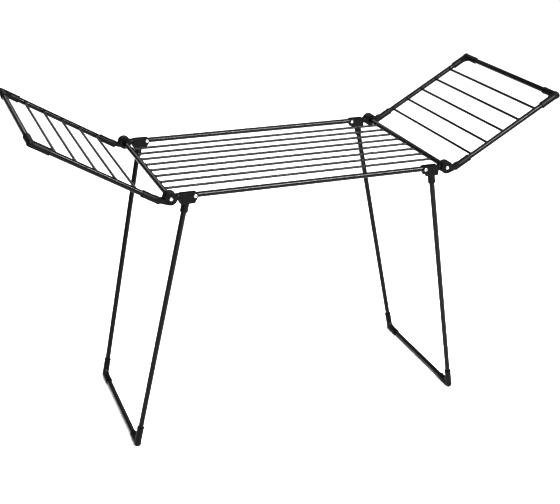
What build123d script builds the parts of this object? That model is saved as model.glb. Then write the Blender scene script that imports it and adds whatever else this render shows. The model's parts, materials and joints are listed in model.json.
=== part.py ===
"""Free-standing clothes airer with two fold-over wings and two fold-flat U legs.

Millimetres, +Z up, floor at z = 0, X along the rack, Y across it.  The airer is shown open:
wings raised, legs splayed.  Every repeated part is modelled once on the +X, +Y corner and
mirrored to the other sides.
"""
import os
from math import asin, atan2, cos, degrees, hypot, radians, sin
from build123d import *

# ---------------------------------------------------------------- driving sizes
HINGE_X = 463.5          # centre of the airer to a wing hinge axis
SIDE_Y = 287.0           # centre of the airer to a side tube axis
RACK_Z = 872.0           # floor to the rack plane
TUBE_D = 17.0            # frame tube, outside diameter
TUBE_WALL = 1.0
ROD_D = 8.0              # hanging rods, thin tube
ROD_WALL = 0.8
RACK_RODS = 8
RACK_ROD_MARGIN = 83.0   # side tube axis to the first hanging rod
WING_RODS = 5
WING_ROD_START = 99.5    # hinge axis to the first wing rod, along the arm
WING_ROD_END = 81.5      # last wing rod to the end tube, along the arm
WING_RISE = 30.5         # degrees above level when the wing is open
WING_CENTRE_GAP = 18.5   # folded: end tube axis to the centre of the airer
FOOT_X = 580.0           # centre of the airer to a foot bar axis
FOOT_Y = 241.0           # centre of the airer to a foot corner
FOOT_Z = 12.0            # floor to the foot bar axis
LEG_PIVOT_IN = 76.4      # wing hinge axis back to the leg pivot
SLEEVE_WALL = 2.5        # moulded sleeve round a frame tube
SOCKET_WALL = 3.5        # heavier socket at the top of a leg
BOSS_EXTRA = 9.5         # hinge disc radius beyond the sleeve radius
BOSS_THICK = 15.7
EYE_THICK = 14.0
EYE_SHIFT = 2.0          # side tube axis out to the inner face of the wing eye
RING_R = 12.3            # raised ring round the hinge rivet
RING_WIDTH = 2.0
RING_RAISE = 0.8
ARM_Y_SHIFT = 4.5        # wing arm axis outside the side tube axis
HINGE_PIN_D = 8.0
HINGE_PIN_FLOOR = 2.0    # wall behind the blind hole for the hinge rivet
LEG_PIN_D = 6.0
RIVET_HEAD_D = 12.0
RIVET_HEAD_H = 2.0
FLANGE_THICK = 3.2
FLANGE_RISE = 9.5        # saddle flange above the side tube axis
FLANGE_DROP = 23.0       # saddle flange below the side tube axis
FLANGE_OUT = 47.8        # saddle flange outboard of its pivot
FLANGE_CUT = 5.0         # slanted corner at the outboard top of a flange
FLANGE_ROUND = 5.0
COLLAR_END = 26.5        # hinge axis to the end of the corner collar
ARM_SLEEVE = 85.0        # hinge axis to the mouth of the wing sleeve
SLEEVE_BEYOND_BOSS = 3.5  # hinge disc rim to the start of the wing sleeve
THROAT_OUT = 12.0        # rounded throat between the hinge eye and its sleeve
THROAT_EXTRA = 4.0       # throat radius beyond the sleeve radius
THROAT_LIFT = 6.0        # throat centre above the arm axis
LEG_SOCKET = 52.0        # rack plane to the mouth of the leg socket, down the leg
LEG_SEAT_FLOOR = 4.0     # wall of the saddle above the end of the leg tube
WING_ELBOW_ARM = 60.0
WING_ELBOW_END = 67.0
FOOT_ELBOW_ARM = 60.0
ELBOW_SEAT = 12.0        # elbow corner to the end of a seated tube
ELBOW_WEB = 18.0         # hollow radius of the web inside an elbow
WEB_THICK = 12.0
SPIGOT_LENGTH = 26.0
PAD_LENGTH = 46.0
PAD_WIDTH = 14.0

# ---------------------------------------------------------------- clearances
FIT = 0.05               # radial, fixed fits and pins
GAP = 0.3                # between faces of moving parts
LEG_GAP = 2.5            # folded leg socket to the side tube
CROSSING = 0.1           # pivot boss proud of the flange, so that their outlines cross
OVERRUN = 1.0            # length of a cutter past the face it opens

# ---------------------------------------------------------------- derived sizes
TUBE_R = TUBE_D / 2
ROD_R = ROD_D / 2
BORE_R = TUBE_R + FIT
SPIGOT_R = TUBE_R - TUBE_WALL - FIT
SLEEVE_R = TUBE_R + SLEEVE_WALL
SOCKET_R = TUBE_R + SOCKET_WALL
BOSS_R = SLEEVE_R + BOSS_EXTRA
ARM_SLEEVE_START = BOSS_R + SLEEVE_BEYOND_BOSS
ARM_DROP = 2 * SLEEVE_R                      # arm axis clears the corner collar when folded
THROAT_R = SLEEVE_R + THROAT_EXTRA
THROAT_DROP = ARM_DROP - THROAT_LIFT
WING_REACH = HINGE_X - WING_CENTRE_GAP
ARM_Y = SIDE_Y + ARM_Y_SHIFT
EYE_Y = SIDE_Y + EYE_SHIFT                   # inner face of the wing eye
BOSS_Y = EYE_Y - GAP - BOSS_THICK            # inner face of the corner disc
SIDE_TUBE_END = HINGE_X - 2 * SLEEVE_R       # inside the corner collar
PIVOT_X = HINGE_X - LEG_PIVOT_IN
LEG_DROP = SOCKET_R + TUBE_R + LEG_GAP       # leg axis to its pivot
FLANGE_IN = TUBE_R + GAP                     # inside face of a flange from the tube axis
FLANGE_OUTER = FLANGE_IN + FLANGE_THICK
FLANGE_END_R = FLANGE_RISE + CROSSING
FOOT_RUN = hypot(FOOT_X - PIVOT_X, RACK_Z - FOOT_Z)
SPLAY = degrees(atan2(FOOT_X - PIVOT_X, RACK_Z - FOOT_Z) - asin(LEG_DROP / FOOT_RUN))
LEG_TOP_X = PIVOT_X + LEG_DROP / cos(radians(SPLAY))
LEG_TOP = Vector(LEG_TOP_X, SIDE_Y, RACK_Z)
FOOT = Vector(FOOT_X, FOOT_Y, FOOT_Z)
LEG_DIR = (FOOT - LEG_TOP).normalized()


# ---------------------------------------------------------------- shape helpers
def bar(start, end, radius):
    """Solid round bar between two points."""
    run = Vector(*end) - Vector(*start)
    return extrude(Plane(Vector(*start), z_dir=run.normalized()) * Circle(radius), amount=run.length)


def tube(start, end, radius=TUBE_R, wall=TUBE_WALL):
    """Tube between two points, frame tube unless told otherwise."""
    return bar(start, end, radius) - bar(start, end, radius - wall)


def box(low, high):
    """Box between two corners."""
    size = [b - a for a, b in zip(low, high)]
    mid = [(a + b) / 2 for a, b in zip(low, high)]
    return Pos(*mid) * Box(*size)


def disc(x, z, radius, y0, y1):
    """Disc with its axis along Y."""
    return bar((x, y0, z), (x, y1, z), radius)


def at_corner(shape, side, face):
    """Take a +X, +Y part to a side (-1 left, 1 right) and a face (-1 front, 1 back)."""
    if side < 0 and face < 0:
        return Rot(0, 0, 180) * shape
    if side < 0:
        return mirror(shape, about=Plane.YZ)
    if face < 0:
        return mirror(shape, about=Plane.XZ)
    return shape


def wing_pose(shape):
    """Take a part from the wing's own frame (hinge axis at the origin) to the open wing."""
    return Pos(HINGE_X, 0, RACK_Z) * Rot(0, -WING_RISE, 0) * shape


def elbow(corner, dir_a, arm_a, dir_b, arm_b):
    """Moulded corner: two sleeves, a ball and a hollowed web, bored for both tubes."""
    body = bar(corner, corner + dir_a * arm_a, SLEEVE_R)
    body += bar(corner, corner + dir_b * arm_b, SLEEVE_R)
    body += Pos(corner) * Sphere(SLEEVE_R)
    normal = dir_a.cross(dir_b).normalized()
    web_plane = Plane(corner - normal * (WEB_THICK / 2), x_dir=dir_a, z_dir=normal)
    reach = SLEEVE_R + ELBOW_WEB
    web = extrude(web_plane * Polygon((0, 0), (reach, 0), (reach, reach), (0, reach), align=None),
                  amount=WEB_THICK)
    hollow_axis = corner + dir_a * reach + dir_b * reach
    web -= bar(hollow_axis - normal * WEB_THICK, hollow_axis + normal * WEB_THICK, ELBOW_WEB)
    body += web
    body -= bar(corner + dir_a * ELBOW_SEAT, corner + dir_a * (arm_a + OVERRUN), BORE_R)
    body -= bar(corner + dir_b * ELBOW_SEAT, corner + dir_b * (arm_b + OVERRUN), BORE_R)
    return body


# ---------------------------------------------------------------- the rack
def rack_rod_places():
    first = SIDE_Y - RACK_ROD_MARGIN
    pitch = 2 * first / (RACK_RODS - 1)
    return [-first + i * pitch for i in range(RACK_RODS)]


def side_tube():
    """Long tube at the back, with a hole for each leg pivot."""
    body = tube((-SIDE_TUBE_END, SIDE_Y, RACK_Z), (SIDE_TUBE_END, SIDE_Y, RACK_Z))
    for side in (-1, 1):
        body -= disc(side * PIVOT_X, RACK_Z, LEG_PIN_D / 2 + FIT, SIDE_Y - TUBE_D, SIDE_Y + TUBE_D)
    return body


def cross_tube():
    """Tube on the right hinge axis, drilled on its inner side for the hanging rods."""
    body = tube((HINGE_X, -BOSS_Y, RACK_Z), (HINGE_X, BOSS_Y, RACK_Z))
    for y in rack_rod_places():
        body -= bar((HINGE_X - TUBE_D, y, RACK_Z), (HINGE_X, y, RACK_Z), ROD_R + FIT)
    return body


def rack_rod(y):
    end = HINGE_X - TUBE_R + 2 * TUBE_WALL
    return tube((-end, y, RACK_Z), (end, y, RACK_Z), ROD_R, ROD_WALL)


def corner_casting():
    """Fixed half of a wing hinge: disc, collar for the side tube, spigots and wing stop."""
    boss_out = BOSS_Y + BOSS_THICK
    body = bar((HINGE_X - COLLAR_END, SIDE_Y, RACK_Z), (HINGE_X, SIDE_Y, RACK_Z), SLEEVE_R)
    body -= bar((SIDE_TUBE_END, SIDE_Y, RACK_Z), (SIDE_TUBE_END - SLEEVE_R, SIDE_Y, RACK_Z), BORE_R)
    body -= disc(HINGE_X, RACK_Z, BOSS_R + GAP, boss_out, boss_out + EYE_THICK + SLEEVE_R)
    body += disc(HINGE_X, RACK_Z, BOSS_R, BOSS_Y, boss_out)
    body += bar((HINGE_X, SIDE_Y, RACK_Z), (SIDE_TUBE_END - SPIGOT_LENGTH, SIDE_Y, RACK_Z), SPIGOT_R) \
        - disc(HINGE_X, RACK_Z, BOSS_R + GAP, boss_out, boss_out + EYE_THICK + SLEEVE_R)
    body += bar((HINGE_X, BOSS_Y, RACK_Z), (HINGE_X, BOSS_Y - SPIGOT_LENGTH, RACK_Z), SPIGOT_R)
    stop_u = ARM_SLEEVE_START - GAP
    nub = box((SLEEVE_R / 2, BOSS_Y, -ARM_DROP), (stop_u, boss_out, -SLEEVE_R / 2))
    body += wing_pose(nub)
    body -= disc(HINGE_X, RACK_Z, HINGE_PIN_D / 2 + FIT, BOSS_Y + HINGE_PIN_FLOOR, SIDE_Y + BOSS_THICK)
    return body


def rivet(x, shank_r, y_in, y_out, inner_head):
    """Rivet along Y with a dished outer head and, if wanted, an inner head."""
    body = disc(x, RACK_Z, shank_r, y_in, y_out)
    body += disc(x, RACK_Z, RIVET_HEAD_D / 2, y_out, y_out + RIVET_HEAD_H)
    body -= disc(x, RACK_Z, RIVET_HEAD_D / 6, y_out + RIVET_HEAD_H / 2, y_out + RIVET_HEAD_H)
    if inner_head:
        body += disc(x, RACK_Z, RIVET_HEAD_D / 2, y_in - RIVET_HEAD_H, y_in)
    return body


def hinge_rivet():
    return rivet(HINGE_X, HINGE_PIN_D / 2, BOSS_Y + HINGE_PIN_FLOOR + GAP, EYE_Y + EYE_THICK + GAP, False)


def leg_rivet():
    reach = FLANGE_OUTER + GAP
    return rivet(PIVOT_X, LEG_PIN_D / 2, SIDE_Y - reach, SIDE_Y + reach, True)


# ---------------------------------------------------------------- a wing, in its own frame
def wing_rod_places():
    run = WING_REACH - WING_ROD_START - WING_ROD_END
    return [WING_ROD_START + i * run / (WING_RODS - 1) for i in range(WING_RODS)]


def wing_hinge_arm():
    """Moving half of a wing hinge: eye, cranked web and the sleeve that holds the arm."""
    eye_out = EYE_Y + EYE_THICK
    hub = disc(0, 0, BOSS_R, 0, SIDE_Y * 2)
    throat = Pos(THROAT_OUT, -THROAT_DROP) * Circle(THROAT_R)
    rims = Circle(BOSS_R).edges() + throat.edges()
    face_plane = Plane(Vector(0, eye_out, 0), x_dir=(1, 0, 0), z_dir=(0, -1, 0))
    body = extrude(face_plane * make_hull(rims), amount=EYE_THICK)
    body -= box((0, 0, -SLEEVE_R), (ARM_SLEEVE, SIDE_Y * 2, BOSS_R * 2)) - hub
    body += bar((ARM_SLEEVE_START, ARM_Y, -ARM_DROP), (ARM_SLEEVE, ARM_Y, -ARM_DROP), SLEEVE_R)
    body += disc(0, 0, RING_R, eye_out, eye_out + RING_RAISE)
    body -= disc(0, 0, RING_R - RING_WIDTH, eye_out, eye_out + RING_RAISE)
    seat = ARM_SLEEVE_START + ELBOW_SEAT
    body -= bar((seat, ARM_Y, -ARM_DROP), (ARM_SLEEVE + OVERRUN, ARM_Y, -ARM_DROP), BORE_R)
    body -= disc(0, 0, HINGE_PIN_D / 2 + FIT, EYE_Y - OVERRUN, eye_out + OVERRUN)
    return body


def wing_arm():
    """Back arm tube, drilled on its inner side for the wing rods."""
    start = (ARM_SLEEVE_START + ELBOW_SEAT, ARM_Y, -ARM_DROP)
    body = tube(start, (WING_REACH - ELBOW_SEAT, ARM_Y, -ARM_DROP))
    for u in wing_rod_places():
        body -= bar((u, ARM_Y - TUBE_D, -ARM_DROP), (u, ARM_Y, -ARM_DROP), ROD_R + FIT)
    return body


def wing_rod(u):
    end = ARM_Y - TUBE_R + 2 * TUBE_WALL
    return tube((u, -end, -ARM_DROP), (u, end, -ARM_DROP), ROD_R, ROD_WALL)


def wing_end_tube():
    end = ARM_Y - ELBOW_SEAT
    return tube((WING_REACH, -end, -ARM_DROP), (WING_REACH, end, -ARM_DROP))


def wing_elbow():
    corner = Vector(WING_REACH, ARM_Y, -ARM_DROP)
    return elbow(corner, Vector(-1, 0, 0), WING_ELBOW_ARM, Vector(0, -1, 0), WING_ELBOW_END)


# ---------------------------------------------------------------- a leg
def leg_saddle():
    """Channel that hangs on the side tube and holds the top of a leg."""
    top, low = RACK_Z + FLANGE_RISE, RACK_Z - FLANGE_DROP
    outer = PIVOT_X + FLANGE_OUT
    inner = PIVOT_X - FLANGE_END_R
    side = Polygon((PIVOT_X, low), (outer, low), (outer, top - FLANGE_CUT), (outer - FLANGE_CUT, top),
                   (PIVOT_X, top), (inner, RACK_Z), align=None)
    side = fillet(side.vertices().group_by(Axis.Y)[0], FLANGE_ROUND)
    side += Pos(PIVOT_X, RACK_Z) * Circle(FLANGE_END_R)
    face_plane = Plane(Vector(0, SIDE_Y + FLANGE_OUTER, 0), x_dir=(1, 0, 0), z_dir=(0, -1, 0))
    body = extrude(face_plane * side, amount=2 * FLANGE_OUTER)
    body -= box((0, SIDE_Y - FLANGE_IN, RACK_Z - FLANGE_IN), (HINGE_X * 2, SIDE_Y + FLANGE_IN, top + OVERRUN))
    swing = 4 * FLANGE_OUT
    swing_room = Pos(LEG_DROP - SOCKET_R - swing / 2, 0, 0) * Box(swing, 2 * FLANGE_IN, swing)
    body -= Pos(PIVOT_X, SIDE_Y, RACK_Z) * Rot(0, -SPLAY, 0) * swing_room
    socket = bar(LEG_TOP + LEG_DIR * leg_seat(), LEG_TOP + LEG_DIR * LEG_SOCKET, SOCKET_R)
    body += socket - box((0, 0, RACK_Z - FLANGE_IN), (HINGE_X * 2, SIDE_Y * 2, top + TUBE_D))
    seat = LEG_TOP + LEG_DIR * leg_seat()
    body -= bar(seat, LEG_TOP + LEG_DIR * (LEG_SOCKET + OVERRUN), BORE_R)
    reach = FLANGE_OUTER + OVERRUN
    body -= disc(PIVOT_X, RACK_Z, LEG_PIN_D / 2 + FIT, SIDE_Y - reach, SIDE_Y + reach)
    return body


def leg_seat():
    """Distance down the leg axis from the rack plane to the top of the leg tube."""
    return FLANGE_IN + TUBE_R * sin(radians(SPLAY)) + LEG_SEAT_FLOOR


def leg_tube():
    return tube(LEG_TOP + LEG_DIR * leg_seat(), FOOT - LEG_DIR * ELBOW_SEAT)


def foot_bar():
    end = FOOT_Y - ELBOW_SEAT
    return tube((FOOT_X, -end, FOOT_Z), (FOOT_X, end, FOOT_Z))


def foot_elbow():
    """Foot corner with a flat pad that rests on the floor."""
    body = elbow(FOOT, LEG_DIR * -1, FOOT_ELBOW_ARM, Vector(0, -1, 0), FOOT_ELBOW_ARM)
    y1 = FOOT_Y - ELBOW_SEAT / 2
    pad = box((FOOT_X - PAD_WIDTH / 2, y1 - PAD_LENGTH, 0), (FOOT_X + PAD_WIDTH / 2, y1, FOOT_Z))
    inside = TUBE_R + SLEEVE_WALL / 2
    pad -= bar((FOOT_X, y1 - PAD_LENGTH - OVERRUN, FOOT_Z), (FOOT_X, y1 + OVERRUN, FOOT_Z), inside)
    return body + pad


# ---------------------------------------------------------------- all the nodes
def build():
    nodes = {}
    sides = {"left": -1, "right": 1}
    faces = {"front": -1, "back": 1}
    for face, f in faces.items():
        nodes[f"side_tube_{face}"] = at_corner(side_tube(), 1, f)
    for i, y in enumerate(rack_rod_places(), 1):
        nodes[f"rack_rod_{i}"] = rack_rod(y)
    for side, s in sides.items():
        nodes[f"cross_tube_{side}"] = at_corner(cross_tube(), s, 1)
        nodes[f"hinge_rivets_{side}"] = Compound(children=[at_corner(hinge_rivet(), s, f) for f in (-1, 1)])
        nodes[f"leg_rivets_{side}"] = Compound(children=[at_corner(leg_rivet(), s, f) for f in (-1, 1)])
        nodes[f"wing_end_tube_{side}"] = at_corner(wing_pose(wing_end_tube()), s, 1)
        nodes[f"foot_bar_{side}"] = at_corner(foot_bar(), s, 1)
        for i, u in enumerate(wing_rod_places(), 1):
            nodes[f"wing_rod_{side}_{i}"] = at_corner(wing_pose(wing_rod(u)), s, 1)
        for face, f in faces.items():
            tag = f"{side}_{face}"
            nodes[f"corner_casting_{tag}"] = at_corner(corner_casting(), s, f)
            nodes[f"wing_hinge_{tag}"] = at_corner(wing_pose(wing_hinge_arm()), s, f)
            nodes[f"wing_arm_{tag}"] = at_corner(wing_pose(wing_arm()), s, f)
            nodes[f"wing_elbow_{tag}"] = at_corner(wing_pose(wing_elbow()), s, f)
            nodes[f"leg_saddle_{tag}"] = at_corner(leg_saddle(), s, f)
            nodes[f"leg_tube_{tag}"] = at_corner(leg_tube(), s, f)
            nodes[f"foot_elbow_{tag}"] = at_corner(foot_elbow(), s, f)
    return nodes


os.makedirs("parts", exist_ok=True)
for name, shape in build().items():
    export_step(shape, f"parts/{name}.step")
    print(f"{name:28s} {len(shape.solids())} solid(s)")
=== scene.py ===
# %% [markdown]
# # A two-wing clothes airer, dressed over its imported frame
# The airer is black powder-coated steel tube and rod held together by black moulded corners.
# The frame brings every tube, rod and joint at its real place, so this lesson keeps the tubes
# and rods as they are and models the moulded parts, rivets and welds that carry the detail.

# %% Load the frame
import json
import math
import bpy
from mathutils import Matrix, Vector


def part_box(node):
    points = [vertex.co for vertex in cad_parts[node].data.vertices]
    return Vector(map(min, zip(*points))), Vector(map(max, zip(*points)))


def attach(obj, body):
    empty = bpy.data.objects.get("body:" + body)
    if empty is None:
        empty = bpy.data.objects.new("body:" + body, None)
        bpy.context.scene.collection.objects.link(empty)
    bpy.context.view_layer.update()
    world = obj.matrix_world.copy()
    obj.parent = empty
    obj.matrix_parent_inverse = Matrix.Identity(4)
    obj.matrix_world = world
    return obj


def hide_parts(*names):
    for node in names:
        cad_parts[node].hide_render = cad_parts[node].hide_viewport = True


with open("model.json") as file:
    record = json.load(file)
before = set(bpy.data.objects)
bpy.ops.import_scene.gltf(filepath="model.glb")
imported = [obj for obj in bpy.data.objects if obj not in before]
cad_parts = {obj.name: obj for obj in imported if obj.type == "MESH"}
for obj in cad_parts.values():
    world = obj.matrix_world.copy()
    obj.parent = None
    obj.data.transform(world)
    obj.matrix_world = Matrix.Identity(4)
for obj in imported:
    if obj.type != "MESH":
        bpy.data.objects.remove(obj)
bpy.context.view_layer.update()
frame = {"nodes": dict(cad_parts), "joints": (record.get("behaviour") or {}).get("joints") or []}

# %% [markdown]
# ## Sizes read from the frame
# Every place comes from the frame: joint positions from its record and sizes from the boxes of
# its nodes. Reading them, rather than typing them again, keeps the looks on the real parts if
# the frame is ever packed with other sizes. The +X, +Y corner is measured and the other three
# corners are mirrored from it.

# %% Read the sizes
MM = 0.001
joints = {j["name"]: j for j in frame["joints"]}
hinge = Vector(joints["right_wing_hinge"]["pos_m"])
leg_pivot = Vector(joints["right_leg_hinge"]["pos_m"])


def middle(node):
    low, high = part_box(node)
    return (low + high) / 2


def span(node):
    low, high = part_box(node)
    return high - low


side_y = middle("side_tube_back").y
tube_r = span("foot_bar_right").z / 2
rod_r = span("rack_rod_1").z / 2
tube_hole = tube_r + 0.1 * MM
sleeve_r = tube_r + 2.5 * MM
socket_r = tube_r + 3.5 * MM
arm_y = middle("wing_arm_right_back").y
rod_line = middle("wing_rod_right_5") - middle("wing_rod_right_1")
wing_out = rod_line.normalized()
wing_down = Vector((wing_out.z, 0, -wing_out.x))
end_tube = middle("wing_end_tube_right") - hinge
wing_reach = end_tube.dot(wing_out)
arm_drop = end_tube.dot(wing_down)
boss_r = span("corner_casting_right_back").z / 2
bar_end_to_corner = 12 * MM
foot = middle("foot_bar_right")
foot.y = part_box("foot_bar_right")[1].y + bar_end_to_corner
leg_mid = middle("leg_tube_right_back")
leg_down = (foot - leg_mid).normalized()
leg_top = foot - leg_down * ((foot.z - hinge.z) / leg_down.z)
print(f"tube {2e3 * tube_r:.1f} mm, rod {2e3 * rod_r:.1f} mm, wing reach {1e3 * wing_reach:.0f} mm")

# %% [markdown]
# ## Working helpers
# Operators act on whatever is selected, so each helper starts by leaving one object selected
# alone. The moulded parts are joined from simple closed pieces and then melted together: a
# voxel remesh makes one skin round them all and a smooth pass rounds the inside corners, which
# is just how a moulding looks where a sleeve runs into a plate.

# %% Selection and edit-mode helpers
def alone(piece):
    bpy.ops.object.select_all(action="DESELECT")
    piece.select_set(True)
    bpy.context.view_layer.objects.active = piece
    return piece


def pick_faces(piece, wanted):
    """Leave the piece in edit mode with only the wanted faces selected."""
    alone(piece)
    bpy.ops.object.mode_set(mode="EDIT")
    bpy.ops.mesh.select_mode(type="FACE")
    bpy.ops.mesh.select_all(action="DESELECT")
    bpy.ops.object.mode_set(mode="OBJECT")
    for face in piece.data.polygons:
        face.select = wanted(face)
    bpy.ops.object.mode_set(mode="EDIT")


def pick_edges(piece, wanted):
    """Leave the piece in edit mode with only the wanted edges selected."""
    alone(piece)
    bpy.ops.object.mode_set(mode="EDIT")
    bpy.ops.mesh.select_mode(type="EDGE")
    bpy.ops.mesh.select_all(action="DESELECT")
    bpy.ops.object.mode_set(mode="OBJECT")
    points = piece.data.vertices
    for edge in piece.data.edges:
        edge.select = wanted(points[edge.vertices[0]].co, points[edge.vertices[1]].co)
    bpy.ops.object.mode_set(mode="EDIT")


def object_mode():
    bpy.ops.object.mode_set(mode="OBJECT")


print("helpers ready")


# %% Primitive helpers
def settle():
    """Apply the fresh primitive's place so that it lives in the mesh."""
    bpy.ops.object.transform_apply(location=True, rotation=True, scale=True)
    return bpy.context.object


def round_bar(start, end, radius, sides=56):
    start, end = Vector(start), Vector(end)
    bpy.ops.object.select_all(action="DESELECT")
    turn = (end - start).to_track_quat("Z", "Y").to_euler()
    bpy.ops.mesh.primitive_cylinder_add(vertices=sides, radius=radius, depth=(end - start).length,
                                        location=(start + end) / 2, rotation=turn)
    return settle()


def block(low, high):
    low, high = Vector(low), Vector(high)
    bpy.ops.object.select_all(action="DESELECT")
    bpy.ops.mesh.primitive_cube_add(size=1, location=(low + high) / 2)
    bpy.context.object.scale = high - low
    return settle()


def round_rim(piece, axis, places, width, segments=4):
    """Bevel the round rims whose edges lie at the given places along an axis."""
    def on_rim(a, b):
        return any(abs(a[axis] - p) < 1e-5 and abs(b[axis] - p) < 1e-5 for p in places)
    pick_edges(piece, on_rim)
    bpy.ops.mesh.bevel(offset=width, segments=segments, affect="EDGES")
    object_mode()
    return piece


def join(pieces):
    bpy.ops.object.select_all(action="DESELECT")
    for piece in pieces:
        piece.select_set(True)
    bpy.context.view_layer.objects.active = pieces[0]
    bpy.ops.object.join()
    return bpy.context.object


def hull(pieces):
    """Stretch one convex skin over the pieces."""
    piece = join(pieces)
    bpy.ops.object.mode_set(mode="EDIT")
    bpy.ops.mesh.select_all(action="SELECT")
    bpy.ops.mesh.convex_hull()
    object_mode()
    return piece


def slice_off(piece, point, outward):
    """Cut the piece on a plane, throw away the outward side and close the cut."""
    alone(piece)
    bpy.ops.object.mode_set(mode="EDIT")
    bpy.ops.mesh.select_all(action="SELECT")
    bpy.ops.mesh.bisect(plane_co=point, plane_no=outward, clear_outer=True, use_fill=True)
    object_mode()
    return piece


def apply_modifier(piece, kind, **settings):
    alone(piece)
    modifier = piece.modifiers.new(kind.lower(), kind)
    for key, value in settings.items():
        setattr(modifier, key, value)
    bpy.ops.object.modifier_apply(modifier=modifier.name)
    return piece


def melt(pieces, voxel=0.8 * MM, rounds=5):
    """One moulded skin round several closed pieces."""
    piece = join(pieces)
    apply_modifier(piece, "REMESH", mode="VOXEL", voxel_size=voxel)
    return apply_modifier(piece, "SMOOTH", factor=0.5, iterations=rounds)


print("modelling helpers ready")


# %% [markdown]
# ## Four corners from one
# The airer is the same mirrored left to right and front to back, so each moulded part is
# modelled on the right-back corner and copied. Each copy has its own mesh, and because a
# mirror turns a mesh inside out its normals are recalculated.

# %% Mirror helper
SIDES = {"right": 1, "left": -1}
FACES = {"back": 1, "front": -1}


def mirrored(piece, x_sign, y_sign):
    copy = piece.copy()
    copy.data = piece.data.copy()
    bpy.context.collection.objects.link(copy)
    alone(copy)
    copy.scale = (x_sign, y_sign, 1)
    settle()
    if x_sign * y_sign < 0:
        bpy.ops.object.mode_set(mode="EDIT")
        bpy.ops.mesh.select_all(action="SELECT")
        bpy.ops.mesh.normals_make_consistent(inside=False)
        object_mode()
    return copy


def finish_piece(piece, name, body, material, nodes=(), smooth=40):
    """Name, shade, paint and hang a finished piece on its body."""
    piece.name = name
    piece.data.name = name
    alone(piece)
    bpy.ops.object.shade_smooth_by_angle(angle=math.radians(smooth))
    piece.data.materials.clear()
    piece.data.materials.append(material)
    if nodes:
        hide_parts(*nodes)
    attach(piece, body)


def four_corners(piece, kind, body_of_side, material, smooth=40):
    """Finish a right-back piece as the node of that kind at all four corners."""
    for side, x_sign in SIDES.items():
        for face, y_sign in FACES.items():
            copy = mirrored(piece, x_sign, y_sign)
            node = f"{kind}_{side}_{face}"
            finish_piece(copy, f"{node}_moulded", body_of_side(side), material, [node], smooth)
    faces = len(piece.data.polygons)
    bpy.data.objects.remove(piece)
    print(f"{kind}: four pieces of {faces} faces")


print("corner helpers ready")


# %% [markdown]
# ## Shader maths in Python
# Materials are node graphs. A small class wraps a socket so that ordinary expressions add the
# Math nodes, and one method adds any other node with its settings and inputs.

# %% Socket class
class Sock:
    """A socket that maths can be done with."""

    def __init__(self, tree, out):
        self.tree, self.out = tree, out

    def node(self, kind, settings=None, take=0, **inputs):
        made = self.tree.nodes.new(kind)
        for key, value in (settings or {}).items():
            setattr(made, key, value)
        for key, value in inputs.items():
            slot = made.inputs[int(key[1:])] if key[1:].isdigit() else made.inputs[key.replace("_", " ")]
            if isinstance(value, Sock):
                self.tree.links.new(value.out, slot)
            else:
                slot.default_value = value
        return Sock(self.tree, made.outputs[take])

    def math(self, operation, first, second=0.0):
        return self.node("ShaderNodeMath", {"operation": operation}, i0=first, i1=second)

    def __add__(self, other):
        return self.math("ADD", self, other)

    def __mul__(self, other):
        return self.math("MULTIPLY", self, other)

    def __sub__(self, other):
        return self.math("SUBTRACT", self, other)

    def __rsub__(self, other):
        return self.math("SUBTRACT", other, self)

    __radd__ = __add__
    __rmul__ = __mul__

    def clamp(self):
        return self.node("ShaderNodeClamp", Value=self)


def new_material(name):
    material = bpy.data.materials.new(name)
    material.use_nodes = True
    tree = material.node_tree
    tree.nodes.clear()
    place = tree.nodes.new("ShaderNodeTexCoord")
    return material, tree, Sock(tree, place.outputs["Object"])


def close_material(tree, colour, roughness, normal, **constants):
    shader = tree.nodes.new("ShaderNodeBsdfPrincipled")
    for key, value in constants.items():
        shader.inputs[key.replace("_", " ")].default_value = value
    tree.links.new(colour.out, shader.inputs["Base Color"])
    tree.links.new(roughness.out, shader.inputs["Roughness"])
    tree.links.new(normal.out, shader.inputs["Normal"])
    output = tree.nodes.new("ShaderNodeOutputMaterial")
    tree.links.new(shader.outputs["BSDF"], output.inputs["Surface"])


def mix_colour(share, first, second):
    return share.node("ShaderNodeMix", {"data_type": "RGBA"}, take=2, i0=share, i6=first, i7=second)


print("shader helpers ready")

# %% [markdown]
# ## Black powder coat
# The steel is coated with black powder that melts and flows, which leaves a satin skin with a
# very fine orange-peel ripple. Handling leaves faint scuffs that run along a tube, so one
# noise is stretched along the tube's own direction: the pattern's coordinates are turned to the
# tube and squeezed. The ripple goes to the bump, the scuffs to roughness and a little to colour.


# %% Powder coat material
def powder_coat(name, along, ripple=1.0):
    material, tree, place = new_material(name)
    turn = Vector(along).to_track_quat("X", "Z").inverted().to_euler()
    drawn = place.node("ShaderNodeMapping", {"vector_type": "POINT"}, Vector=place,
                       Rotation=tuple(turn), Scale=(6.0, 260.0, 260.0))
    streaks = place.node("ShaderNodeTexNoise", Vector=drawn, Scale=1.0, Detail=6.0, Roughness=0.6)
    peel = place.node("ShaderNodeTexNoise", Vector=place, Scale=520.0, Detail=2.0, Roughness=0.5)
    cloud = place.node("ShaderNodeTexNoise", Vector=place, Scale=14.0, Detail=4.0, Roughness=0.55)
    specks = place.node("ShaderNodeTexVoronoi", {"feature": "F1"}, Vector=place, Scale=240.0)
    scuff = (streaks - 0.55) * 5.0
    dust = ((0.12 - specks).clamp() * 3.0).clamp()
    tone = (cloud * 0.55 + scuff.clamp() * 0.5 + dust * 0.6).clamp()
    colour = mix_colour(tone, (0.0028, 0.0027, 0.0036, 1), (0.0094, 0.0092, 0.0118, 1))
    roughness = cloud * 0.12 + scuff.clamp() * 0.08 + 0.17
    height = peel * 0.8 + streaks * 0.25
    normal = place.node("ShaderNodeBump", Height=height, Strength=0.22 * ripple, Distance=0.0004)
    close_material(tree, colour, roughness, normal, Metallic=0.0, Specular_IOR_Level=0.28)
    return material


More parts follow.
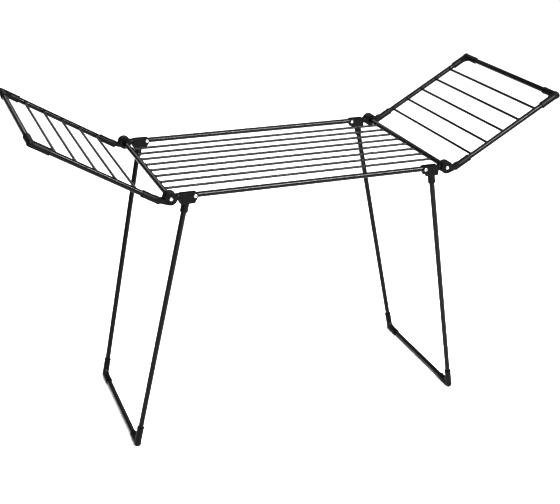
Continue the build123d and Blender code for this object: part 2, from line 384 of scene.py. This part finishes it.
coat_x = powder_coat("powder_coat_along_rack", (1, 0, 0))
coat_y = powder_coat("powder_coat_across_rack", (0, 1, 0))
coat_wing = {side: powder_coat(f"powder_coat_{side}_wing", (x * wing_out.x, 0, wing_out.z))
             for side, x in SIDES.items()}
coat_leg = {side: powder_coat(f"powder_coat_{side}_leg", (x * leg_down.x, 0, leg_down.z))
            for side, x in SIDES.items()}
print("powder coat ready")

# %% [markdown]
# ## Black moulded plastic
# The corners are injection moulded. The tool is spark-eroded, so the skin is a fine even
# grain that scatters light: the plastic looks blacker and more matte than the coat. Corners
# that rub turn a little paler, which the mesh's own pointiness picks out.


# %% Moulded plastic material
def moulded_plastic():
    material, tree, place = new_material("black_moulded_plastic")
    grain = place.node("ShaderNodeTexNoise", Vector=place, Scale=1500.0, Detail=3.0, Roughness=0.7)
    pits = place.node("ShaderNodeTexVoronoi", {"feature": "F1"}, Vector=place, Scale=1100.0)
    cloud = place.node("ShaderNodeTexNoise", Vector=place, Scale=38.0, Detail=5.0, Roughness=0.6)
    shape = tree.nodes.new("ShaderNodeNewGeometry")
    edge = ((Sock(tree, shape.outputs["Pointiness"]) - 0.515) * 9.0).clamp()
    rub = (edge * (cloud * 1.6 - 0.35).clamp()).clamp()
    tone = (cloud * 0.5 + rub * 0.9).clamp()
    colour = mix_colour(tone, (0.0019, 0.0018, 0.0023, 1), (0.0086, 0.0084, 0.0100, 1))
    roughness = cloud * 0.16 + 0.40 - rub * 0.10
    height = grain * 0.7 + pits * 0.5
    normal = place.node("ShaderNodeBump", Height=height, Strength=0.28, Distance=0.0003)
    close_material(tree, colour, roughness, normal, Metallic=0.0, Specular_IOR_Level=0.26)
    return material


plastic = moulded_plastic()
print("moulded plastic ready")

# %% [markdown]
# ## Zinc-plated rivets
# The rivets are small, bright and the only pale spots on the airer. Zinc is a metal with a
# faint bluish tint; fine turning marks and a cloudy passivation keep it from looking chromed.


# %% Rivet material
def zinc():
    material, tree, place = new_material("zinc_rivet")
    brushed = place.node("ShaderNodeMapping", {"vector_type": "POINT"}, Vector=place,
                         Scale=(3200.0, 300.0, 500.0))
    marks = place.node("ShaderNodeTexNoise", Vector=brushed, Scale=1.0, Detail=3.0, Roughness=0.6)
    cloud = place.node("ShaderNodeTexNoise", Vector=place, Scale=420.0, Detail=3.0, Roughness=0.5)
    colour = mix_colour(cloud, (0.26, 0.27, 0.29, 1), (0.48, 0.49, 0.51, 1))
    roughness = cloud * 0.18 + marks * 0.10 + 0.24
    normal = place.node("ShaderNodeBump", Height=marks, Strength=0.12, Distance=0.0001)
    close_material(tree, colour, roughness, normal, Metallic=1.0)
    return material


zinc_plate = zinc()
print("zinc ready")

# %% [markdown]
# ## Tubes and rods keep their frame nodes
# A tube is a true cylinder in the frame already, with smooth normals, so it is kept and only
# painted. Each gets the coat whose scuffs run along it.

# %% Paint the frame nodes
for name, node in frame["nodes"].items():
    side = "left" if "left" in name else "right"
    if name.startswith(("side_tube", "rack_rod")):
        coat = coat_x
    elif name.startswith("wing_arm"):
        coat = coat_wing[side]
    elif name.startswith("leg_tube"):
        coat = coat_leg[side]
    else:
        coat = coat_y
    node.data.materials.clear()
    node.data.materials.append(coat)
print("painted", len(frame["nodes"]), "frame nodes")

# %% [markdown]
# ## Sleeve mouths
# Where a tube leaves a moulding the sleeve ends in a slightly fatter band with a broken edge,
# which stops the mouth from splitting. It could be cut into the sleeve, but a melted skin
# would blur so small a step, so it is a crisp ring of its own: a disc whose two faces are inset
# and bridged into a hole, with its outer rims bevelled.


# %% Sleeve mouth band
BAND_STEP = 0.55 * MM


def mouth_band(centre, axis, radius, length=5.5 * MM):
    """Ring that ends at centre and runs back along the sleeve, open for the tube."""
    centre, axis = Vector(centre), Vector(axis).normalized()
    ring = round_bar(centre - axis * length, centre, radius + BAND_STEP)
    pick_faces(ring, lambda face: abs(Vector(face.normal).dot(axis)) > 0.9)
    bpy.ops.mesh.inset(thickness=radius + BAND_STEP - tube_hole)
    bpy.ops.mesh.delete(type="ONLY_FACE")
    object_mode()

    def from_axis(point):
        arm = point - centre
        return (arm - axis * arm.dot(axis)).length

    def goes_round(a, b):
        return abs((a - b).dot(axis)) < 1e-6

    def on_hole(a, b):
        return goes_round(a, b) and all(from_axis(p) < tube_hole + 0.1 * MM for p in (a, b))
    pick_edges(ring, on_hole)
    bpy.ops.mesh.bridge_edge_loops()
    object_mode()

    def on_outer_rim(a, b):
        return goes_round(a, b) and all(from_axis(p) > radius for p in (a, b))
    pick_edges(ring, on_outer_rim)
    bpy.ops.mesh.bevel(offset=0.5 * MM, segments=2, affect="EDGES")
    object_mode()
    return ring


print("mouth band helper ready")

# %% [markdown]
# ## Corner elbows
# Each wing ends in two elbows and each leg in two more. An elbow is two sleeves that meet in a
# small round knuckle, with a hollowed web filling the inside corner. The web starts as a flat
# block; a round bar cut from its corner with a Boolean leaves the hollow. Sleeves, knuckle and
# web are then melted into one moulding, and the crisp mouth bands are joined on.


# %% Elbow
def elbow(corner, arm_a, length_a, arm_b, length_b, squareness):
    """Sleeves from the corner along two arms, a knuckle between them and a web inside."""
    corner, arm_a, arm_b = Vector(corner), Vector(arm_a), Vector(arm_b)
    square_b = (arm_b - arm_a * arm_b.dot(arm_a)).normalized()
    turn = Matrix((arm_a, square_b, arm_a.cross(square_b))).transposed().to_4x4()
    hollow, thick = 18 * MM, 6.5 * MM
    reach = sleeve_r + hollow
    web = block((0, 0, -thick), (reach, reach, thick))
    cutter = round_bar((reach, reach, -2 * thick), (reach, reach, 2 * thick), hollow)
    apply_modifier(web, "BOOLEAN", operation="DIFFERENCE", object=cutter, solver="EXACT")
    bpy.data.objects.remove(cutter)
    bpy.ops.object.select_all(action="DESELECT")
    bpy.ops.mesh.primitive_uv_sphere_add(segments=48, ring_count=24, radius=sleeve_r)
    knuckle = settle()
    apply_modifier(knuckle, "CAST", cast_type="CUBOID", factor=squareness)
    for piece in (web, knuckle):
        piece.matrix_world = Matrix.Translation(corner) @ turn
        alone(piece)
        settle()
    arms = ((arm_a, length_a), (arm_b, length_b))
    sleeves = [round_bar(corner, corner + arm * (length - 2 * MM), sleeve_r) for arm, length in arms]
    body = melt([web, knuckle, *sleeves])
    bands = [mouth_band(corner + arm * length, arm, sleeve_r) for arm, length in arms]
    return join([body, *bands])


across = Vector((0, -1, 0))
wing_corner = hinge + wing_out * wing_reach + wing_down * arm_drop
wing_corner.y = arm_y
arm_sleeve, end_tube_sleeve = 60 * MM, 67 * MM
four_corners(elbow(wing_corner, -wing_out, arm_sleeve, across, end_tube_sleeve, 0.45),
             "wing_elbow", lambda side: f"{side}_wing", plastic)

# %% [markdown]
# ## Feet
# A foot is the same elbow, opened by the few degrees that the leg leans in, with a flat pad
# under it. The pad is a block bevelled along its upper and upright edges, so that it stands on
# the floor with its whole lower face.

# %% Feet
foot_sleeve = 60 * MM
pad_half, pad_top, pad_inner, pad_outer = 7 * MM, 4 * MM, 52 * MM, 6 * MM
foot_part = elbow(foot, -leg_down, foot_sleeve, across, foot_sleeve, 0.3)
pad = block((foot.x - pad_half, foot.y - pad_inner, 0), (foot.x + pad_half, foot.y - pad_outer, pad_top))
pick_edges(pad, lambda a, b: a.z > 3 * MM and b.z > 3 * MM or abs(a.z - b.z) > 1 * MM)
bpy.ops.mesh.bevel(offset=1.0 * MM, segments=3, affect="EDGES")
object_mode()
four_corners(join([foot_part, pad]), "foot_elbow", lambda side: f"{side}_leg", plastic)

# %% [markdown]
# ## Wing hinge arms
# The moving half of a hinge is a round eye, a throat and the sleeve that holds the arm. The
# throat is one convex skin stretched from the eye to a slice of the sleeve, so the underside of
# the sleeve runs tangentially into the eye; it is cut flat where it would foul the collar of the
# fixed half. Seen from outside the eye has a broken rim and a raised ring round the rivet; the
# ring is an inset face of the eye, pushed out and inset again.


# %% Hinge arm
def wing_point(out, down, y):
    point = hinge + wing_out * out + wing_down * down
    point.y = y
    return point


def ringed_disc(centre, radius, y_in, y_out, ring_r, ring_up, rim=1.4 * MM):
    """Disc along Y with a bevelled rim and a raised ring on its outer face."""
    disc = round_bar((centre.x, y_in, centre.z), (centre.x, y_out, centre.z), radius, 72)
    round_rim(disc, 1, (y_in, y_out), rim)
    pick_faces(disc, lambda face: face.normal.y > 0.99 and len(face.vertices) > 60)
    bpy.ops.mesh.inset(thickness=radius - rim - ring_r)
    bpy.ops.mesh.inset(thickness=0.3 * MM)
    bpy.ops.mesh.extrude_region_move(TRANSFORM_OT_translate={"value": (0, ring_up, 0)})
    bpy.ops.mesh.inset(thickness=1.7 * MM)
    bpy.ops.mesh.inset(thickness=0.3 * MM)
    bpy.ops.mesh.extrude_region_move(TRANSFORM_OT_translate={"value": (0, -1.5 * ring_up, 0)})
    object_mode()
    return disc


ring_up, ring_r = 0.8 * MM, 12.3 * MM
eye_in = side_y + 2 * MM
eye_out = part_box("wing_hinge_right_back")[1].y - ring_up
sleeve_start = wing_point(24 * MM, arm_drop, arm_y)
sleeve_end = wing_point(85 * MM, arm_drop, arm_y)
throat_end, throat_slice = 22 * MM, 4 * MM
skin = hull([round_bar((hinge.x, eye_in, hinge.z), (hinge.x, eye_out, hinge.z), boss_r),
             round_bar(sleeve_start + wing_out * (throat_end - throat_slice),
                       sleeve_start + wing_out * throat_end, sleeve_r)])
slice_off(skin, wing_point(0, sleeve_r, 0), -wing_down)
sleeve = round_bar(sleeve_start, sleeve_end - wing_out * 2 * MM, sleeve_r)
inner_eye = round_bar((hinge.x, eye_in, hinge.z), (hinge.x, eye_out - 2 * MM, hinge.z), boss_r - 1 * MM)
moulding = melt([skin, sleeve, inner_eye], rounds=6)
face_disc = ringed_disc(hinge, boss_r, eye_in, eye_out, ring_r, ring_up)
band = mouth_band(sleeve_end, wing_out, sleeve_r)
four_corners(join([moulding, face_disc, band]), "wing_hinge", lambda side: f"{side}_wing",
             plastic, smooth=32)

# %% [markdown]
# ## Fixed corner castings
# The fixed half of the hinge carries both rack tubes. It is a disc with a broken rim, a
# collar that runs inboard over the side tube and a small stop that the wing sleeve lands on
# when the wing is open. The collar is cut flat behind the disc so that the eye can turn.

# %% Corner casting
disc_in, disc_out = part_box("cross_tube_right")[1].y, eye_in - 0.3 * MM
collar_reach, eye_gap = 26.5 * MM, 0.6 * MM
collar_end = hinge.x - collar_reach
clear = hinge.x - boss_r - eye_gap
disc = round_bar((hinge.x, disc_in, hinge.z), (hinge.x, disc_out, hinge.z), boss_r, 72)
round_rim(disc, 1, (disc_in, disc_out), 1.4 * MM)
neck = round_bar((collar_end + 2 * MM, side_y, hinge.z), (hinge.x, side_y, hinge.z), sleeve_r)
slice_off(neck, (0, disc_out - 0.2 * MM, 0), (0, 1, 0))
collar = round_bar((collar_end + 1.5 * MM, side_y, hinge.z), (clear, side_y, hinge.z), sleeve_r)
stop_down = 14 * MM
stop_ends = ((8 * MM, 5 * MM), (19 * MM, 4 * MM))
stop = hull([round_bar(wing_point(out, stop_down, disc_in + 1 * MM),
                       wing_point(out, stop_down, disc_out), radius) for out, radius in stop_ends])
inner_ring = round_bar((hinge.x, disc_in, hinge.z), (hinge.x, disc_in + 1.4 * MM, hinge.z), tube_r + 2.2 * MM)
casting = melt([neck, collar, stop, inner_ring])
collar_band = mouth_band((collar_end, side_y, hinge.z), (-1, 0, 0), sleeve_r - BAND_STEP, 3.5 * MM)
four_corners(join([casting, disc, collar_band]), "corner_casting", lambda side: "rack",
             plastic)

# %% [markdown]
# ## Leg saddles
# Each leg hangs on the side tube by a saddle: two flanges astride the tube, a floor between
# them that lands on the tube when the leg is open, and a socket for the leg tube. A flange is a
# block with bevelled corners and a round boss at the pivot, wrapped in one convex skin. The
# floor is a block sliced along the leg's own slant, so the saddle can swing right up.

# %% Leg saddle
tube_gap = 0.35 * MM
flange_in, flange_thick = tube_r + tube_gap, 3.2 * MM
flange_low = leg_pivot.z - 23 * MM
flange_high = leg_pivot.z + 9.5 * MM
flange_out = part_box("leg_saddle_right_back")[1].x
socket_start, socket_end = 17 * MM, 52 * MM
pivot_ring_r = 8.6 * MM


def flange(y_low, y_high):
    plate = block((leg_pivot.x, y_low, flange_low), (flange_out, y_high, flange_high))

    def corner_edge(a, b):
        along_y = abs(a.y - b.y) > 1 * MM
        inner_top = a.x < leg_pivot.x + 1 * MM and a.z > leg_pivot.z
        return along_y and not inner_top
    pick_edges(plate, corner_edge)
    bpy.ops.mesh.bevel(offset=4.5 * MM, segments=5, affect="EDGES")
    object_mode()
    boss = round_bar((leg_pivot.x, y_low, leg_pivot.z), (leg_pivot.x, y_high, leg_pivot.z), 9.6 * MM)
    return hull([plate, boss])


outer_flange = flange(side_y + flange_in, side_y + flange_in + flange_thick - 0.05 * MM)
inner_flange = flange(side_y - flange_in - flange_thick + 0.05 * MM, side_y - flange_in)
floor_block = block((leg_pivot.x + 4 * MM, side_y - flange_in - 1 * MM, flange_low + 0.3 * MM),
                    (flange_out - 2 * MM, side_y + flange_in + 1 * MM, leg_pivot.z - tube_r - tube_gap))
lean = Vector((leg_down.x, 0, leg_down.z)).normalized()
inboard = Vector((lean.z, 0, -lean.x))
slice_off(floor_block, leg_pivot - inboard * 11.2 * MM, inboard)
socket = round_bar(leg_top + leg_down * socket_start, leg_top + leg_down * (socket_end - 2 * MM), socket_r)
saddle = melt([outer_flange, inner_flange, floor_block, socket], voxel=0.7 * MM, rounds=3)
socket_band = mouth_band(leg_top + leg_down * socket_end, leg_down, socket_r - 0.4 * MM)
pivot_ring = ringed_disc(leg_pivot, pivot_ring_r, side_y + flange_in + 0.5 * MM,
                         side_y + flange_in + flange_thick, 6.9 * MM, 0.25 * MM, rim=0.5 * MM)
four_corners(join([saddle, socket_band, pivot_ring]), "leg_saddle", lambda side: f"{side}_leg",
             plastic)

# %% [markdown]
# ## Rivets
# A tubular rivet has a low domed head with a rolled dish in its middle. The head is a short
# cylinder whose outer rim is bevelled round; its face is inset, pushed in and bevelled again.
# Each axis has one front and one back rivet, and the pair stands for one node of the frame.


# %% Rivet
HEAD_R, HEAD_UP = 6 * MM, 2 * MM


def rivet(at, y_in, y_out, shank_r, inner_head=False):
    parts = [round_bar((at.x, y_in, at.z), (at.x, y_out + 0.5 * MM, at.z), shank_r, 32)]
    heads = [(y_out, y_out + HEAD_UP, 1)]
    if inner_head:
        heads.append((y_in - HEAD_UP, y_in, -1))
    for low, high, outward in heads:
        head = round_bar((at.x, low, at.z), (at.x, high, at.z), HEAD_R, 48)
        top = high if outward > 0 else low
        round_rim(head, 1, (top,), 1.3 * MM, 6)
        pick_faces(head, lambda face: face.normal.y * outward > 0.99 and len(face.vertices) > 40)
        bpy.ops.mesh.inset(thickness=2.0 * MM)
        bpy.ops.mesh.extrude_region_move(TRANSFORM_OT_translate={"value": (0, -0.5 * MM * outward, 0)})
        bpy.ops.mesh.inset(thickness=0.5 * MM)
        bpy.ops.mesh.extrude_region_move(TRANSFORM_OT_translate={"value": (0, -0.9 * MM * outward, 0)})
        bpy.ops.mesh.inset(thickness=0.5 * MM)
        object_mode()
        parts.append(head)
    return join(parts)


def rivet_pairs(piece, kind):
    for side, x_sign in SIDES.items():
        pair = join([mirrored(piece, x_sign, y_sign) for y_sign in (1, -1)])
        finish_piece(pair, f"{kind}_{side}_plated", "rack", zinc_plate, [f"{kind}_{side}"])
    bpy.data.objects.remove(piece)
    print(f"{kind}: two pairs")


hinge_rivet_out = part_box("hinge_rivets_right")[1].y - HEAD_UP
rivet_pairs(rivet(hinge, disc_in + 3 * MM, hinge_rivet_out, 4 * MM), "hinge_rivets")
leg_rivet_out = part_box("leg_rivets_right")[1].y - HEAD_UP
leg_rivet_in = 2 * side_y - leg_rivet_out
rivet_pairs(rivet(leg_pivot, leg_rivet_in, leg_rivet_out, 3 * MM, inner_head=True), "leg_rivets")

# %% [markdown]
# ## Weld beads
# The rods are welded where they enter the tubes, and the coat runs over the weld as a soft
# collar. One bead is a short cone, subdivided, roughened a little by a seeded random move and
# smoothed; copies go to every rod end and are joined into one piece for each moving body.


# %% Weld beads
def bead(base, out):
    """Bead round a rod that leaves a tube at base in direction out."""
    base, out = Vector(base), Vector(out)
    bpy.ops.object.select_all(action="DESELECT")
    bpy.ops.mesh.primitive_cone_add(vertices=20, radius1=rod_r + 1.9 * MM, radius2=rod_r + 0.15 * MM,
                                    depth=2.4 * MM, location=base + out * 0.5 * MM,
                                    rotation=out.to_track_quat("Z", "Y").to_euler())
    cone = settle()
    bpy.ops.object.mode_set(mode="EDIT")
    bpy.ops.mesh.select_all(action="SELECT")
    bpy.ops.mesh.subdivide(number_cuts=1)
    bpy.ops.transform.vertex_random(offset=0.12 * MM, seed=7)
    bpy.ops.mesh.vertices_smooth(factor=0.3)
    object_mode()
    return cone


def bead_row(name, body, ends, material):
    finish_piece(join([bead(base, out) for base, out in ends]), name, body, material)
    print(f"{name}: {len(ends)} beads")


rack_ends = []
for i in range(1, 9):
    at = middle(f"rack_rod_{i}")
    for x_sign in (1, -1):
        rack_ends.append(((x_sign * (hinge.x - tube_r), at.y, at.z), (-x_sign, 0, 0)))
bead_row("rack_weld_beads", "rack", rack_ends, coat_x)
for side in SIDES:
    wing_ends = []
    for i in range(1, 6):
        at = middle(f"wing_rod_{side}_{i}")
        for y_sign in (1, -1):
            wing_ends.append(((at.x, y_sign * (arm_y - tube_r), at.z), (0, -y_sign, 0)))
    bead_row(f"{side}_wing_weld_beads", f"{side}_wing", wing_ends, coat_y)

# %% [markdown]
# ## Floor, light and camera
# The studio is plain: a pale floor that runs out of sight under a wide soft light from above, so
# the surround is plain white. A long strip of light in front, above the camera, draws the narrow
# grey line along the rack and the wing arms. A soft light behind does the same for the tubes that
# run away from the camera, and a small one on the left lifts the fronts of the mouldings. The
# view is graded a little darker in the mid tones, because satin black in a white room looks grey.

# %% Floor
bpy.ops.object.select_all(action="DESELECT")
bpy.ops.mesh.primitive_plane_add(size=600)
floor = bpy.context.object
floor.name = "studio_floor"
floor_paint, floor_tree, floor_place = new_material("pale_floor")
floor_noise = floor_place.node("ShaderNodeTexNoise", Vector=floor_place, Scale=3.0, Detail=2.0)
floor_colour = mix_colour(floor_noise, (0.90, 0.90, 0.90, 1), (0.92, 0.92, 0.92, 1))
floor_rough = floor_noise * 0.05 + 0.85
floor_bump = floor_place.node("ShaderNodeBump", Height=floor_noise, Strength=0.0)
close_material(floor_tree, floor_colour, floor_rough, floor_bump, Specular_IOR_Level=0.1)
floor.data.materials.append(floor_paint)
print("floor ready")


# %% Lights
def softbox(name, at, aim, width, height, power):
    light = bpy.data.lights.new(name, "AREA")
    light.shape, light.size, light.size_y, light.energy = "RECTANGLE", width, height, power
    lamp = bpy.data.objects.new(name, light)
    bpy.context.collection.objects.link(lamp)
    lamp.location = at
    lamp.rotation_euler = (Vector(aim) - Vector(at)).to_track_quat("-Z", "Y").to_euler()
    return lamp


world = bpy.data.worlds.new("studio")
bpy.context.scene.world = world
world.use_nodes = True
world.node_tree.nodes["Background"].inputs["Color"].default_value = (1, 1, 1, 1)
world.node_tree.nodes["Background"].inputs["Strength"].default_value = 0.22
sun = bpy.data.lights.new("high_sun", "SUN")
sun.energy, sun.angle = 2.9, math.radians(80)
sun_lamp = bpy.data.objects.new("high_sun", sun)
bpy.context.collection.objects.link(sun_lamp)
softbox("strip_in_front", (0.9, -2.7, 3.0), (0.1, -0.1, 0.9), 3.8, 0.42, 560)
softbox("soft_behind", (0.3, 4.0, 2.7), (0, 0, 0.9), 3.6, 0.9, 34)
softbox("left_fill", (-2.6, -2.2, 2.4), (0, 0, 0.7), 0.5, 1.2, 12)
bpy.context.scene.view_settings.view_transform = "Standard"
bpy.context.scene.view_settings.gamma = 0.6
print("lights ready")

# %% Camera
bpy.context.view_layer.update()
yaw, pitch, roll = math.radians(21.43), math.radians(-23.24), math.radians(1.06)
forward = Vector((math.sin(yaw) * math.cos(pitch), math.cos(yaw) * math.cos(pitch), math.sin(pitch)))
right = forward.cross(Vector((0, 0, 1))).normalized()
up = right.cross(forward)
right_rolled = right * math.cos(roll) + up * math.sin(roll)
up_rolled = up * math.cos(roll) - right * math.sin(roll)
focal_length, sensor_width = 69.03, 36.0
camera_place = (-1.2493, -3.1934, 1.9875)
lens = bpy.data.cameras.new("camera")
lens.lens, lens.sensor_width = focal_length, sensor_width
camera = bpy.data.objects.new("camera", lens)
bpy.context.collection.objects.link(camera)
turn = Matrix((right_rolled, up_rolled, -forward)).transposed()
camera.matrix_world = Matrix.Translation(camera_place) @ turn.to_4x4()
bpy.context.scene.camera = camera
print("camera ready")

# %% [markdown]
# ## Close
# The view layer is updated once more, so that every piece stands at its final place.

# %% Finish
bpy.context.view_layer.update()
